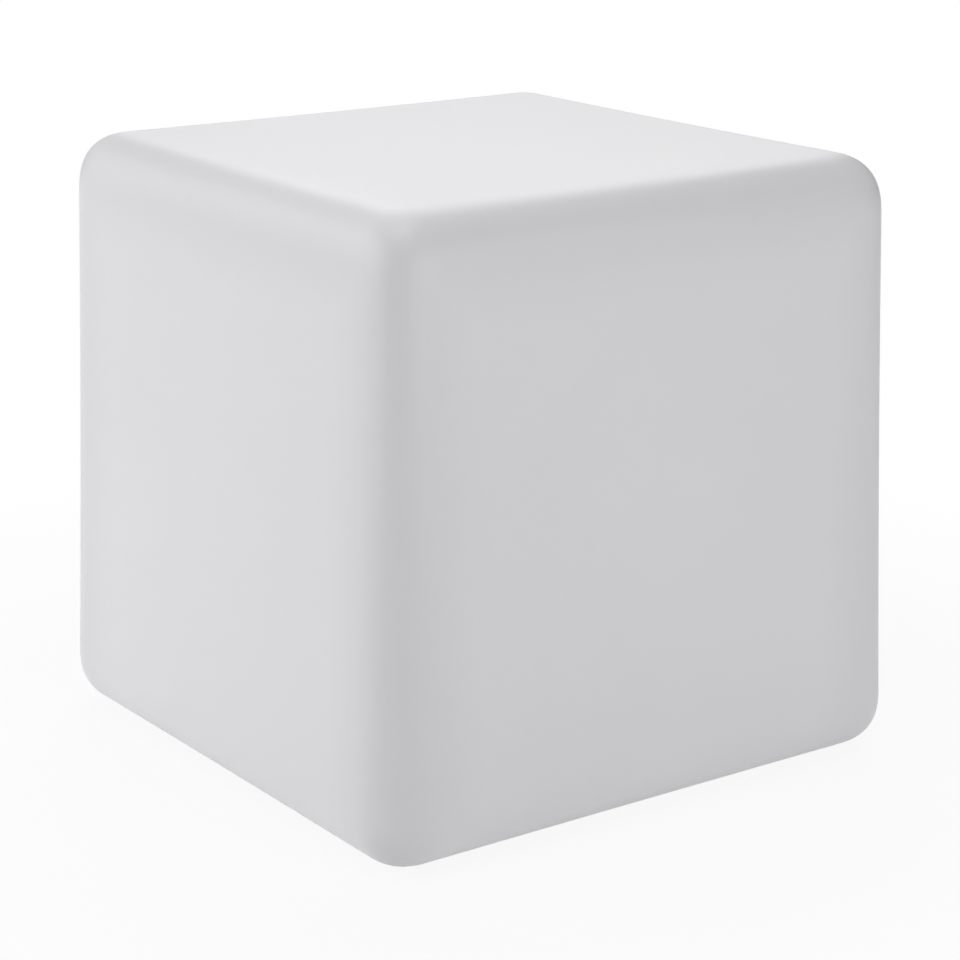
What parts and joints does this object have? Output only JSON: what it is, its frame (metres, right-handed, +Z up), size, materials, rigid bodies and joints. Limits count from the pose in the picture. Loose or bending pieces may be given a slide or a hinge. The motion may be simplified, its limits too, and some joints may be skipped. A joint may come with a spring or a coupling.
{
  "type": "led cube light",
  "caption": "Rounded cube light: hollow moulded shell on rubber feet, with a sealed light module in its base that holds the battery, boards, push button and plugged charging socket.",
  "frame": {"origin": "on the ground, under the middle of the cube: the bottom centre of its box", "axes": "+Z up along the light module's axis, +X to the right and -Y to the front, where the push button is at the left of the charging socket's axis seen from above"},
  "size_m": [0.3972, 0.3972, 0.3885],
  "materials": {
    "shell_plastic": "satin",
    "black_rubber": "matte",
    "grey_rubber": "matte",
    "red_silicone": "satin",
    "housing_plastic": "satin",
    "brass": "satin",
    "steel": "satin",
    "nickel": "polished",
    "led_board_white": "satin",
    "green_board": "satin",
    "led_phosphor": "gloss",
    "black_component": "satin",
    "capacitor_sleeve": "gloss",
    "white_nylon": "satin",
    "cell_sleeve": "gloss",
    "dome_frosted": "satin",
    "black_moulding": "satin",
    "clear_acrylic": "gloss",
    "lead_sleeve": "satin"
  },
  "bodies": {
    "cube": {"battery_board": "green_board", "battery_board_parts": "black_component", "battery_cell_front": "cell_sleeve", "battery_cell_rear": "cell_sleeve", "battery_clamp": "housing_plastic", "battery_cradle": "housing_plastic", "battery_lead": "lead_sleeve", "battery_screws": "steel", "battery_tabs": "nickel", "board_connectors": "white_nylon", "board_screws": "steel", "board_spacers": "brass", "button_spring": "steel", "control_board": "green_board", "control_chips": "black_component", "cube_shell": "shell_plastic", "diffuser_dome": "dome_frosted", "dome_gasket": "red_silicone", "dome_screws": "steel", "foot_back_left": "black_rubber", "foot_back_right": "black_rubber", "foot_front_left": "black_rubber", "foot_front_right": "black_rubber", "ir_receiver": "black_component", "jack_body": "black_moulding", "jack_connector": "white_nylon", "jack_contact": "steel", "jack_lead": "lead_sleeve", "jack_nut": "black_moulding", "jack_pin": "nickel", "jack_seal": "red_silicone", "jack_terminals": "nickel", "led_board": "led_board_white", "led_chips": "led_phosphor", "led_header": "black_component", "led_header_pins": "nickel", "light_pipe": "clear_acrylic", "module_gasket": "red_silicone", "module_housing": "housing_plastic", "module_screws": "steel", "plug_ring": "grey_rubber", "plug_strap": "grey_rubber", "power_inductor": "black_component", "shell_inserts": "brass", "storage_capacitor": "capacitor_sleeve", "switch_body": "black_moulding", "switch_connector": "white_nylon", "switch_lead": "lead_sleeve", "switch_nut": "black_moulding", "switch_seal": "red_silicone", "switch_terminals": "nickel"},
    "power_button": {"button_cap": "grey_rubber", "button_plunger": "white_nylon"},
    "port_plug": {"plug_cap": "grey_rubber"}
  },
  "joints": [
    {"name": "button_press", "type": "slide", "parent": "cube", "child": "power_button", "axis": [0, 0, 1], "range_m": [0, 0.002], "stiffness_N_per_m": 400, "springref_m": -0.003, "deforming": ["button_spring"]},
    {"name": "plug_swing", "type": "hinge", "parent": "cube", "child": "port_plug", "pos_m": [0.0305, -0.027, 0.0133], "axis": [0, -1, 0], "range_deg": [0, 120], "deforming": ["plug_strap"]}
  ]
}
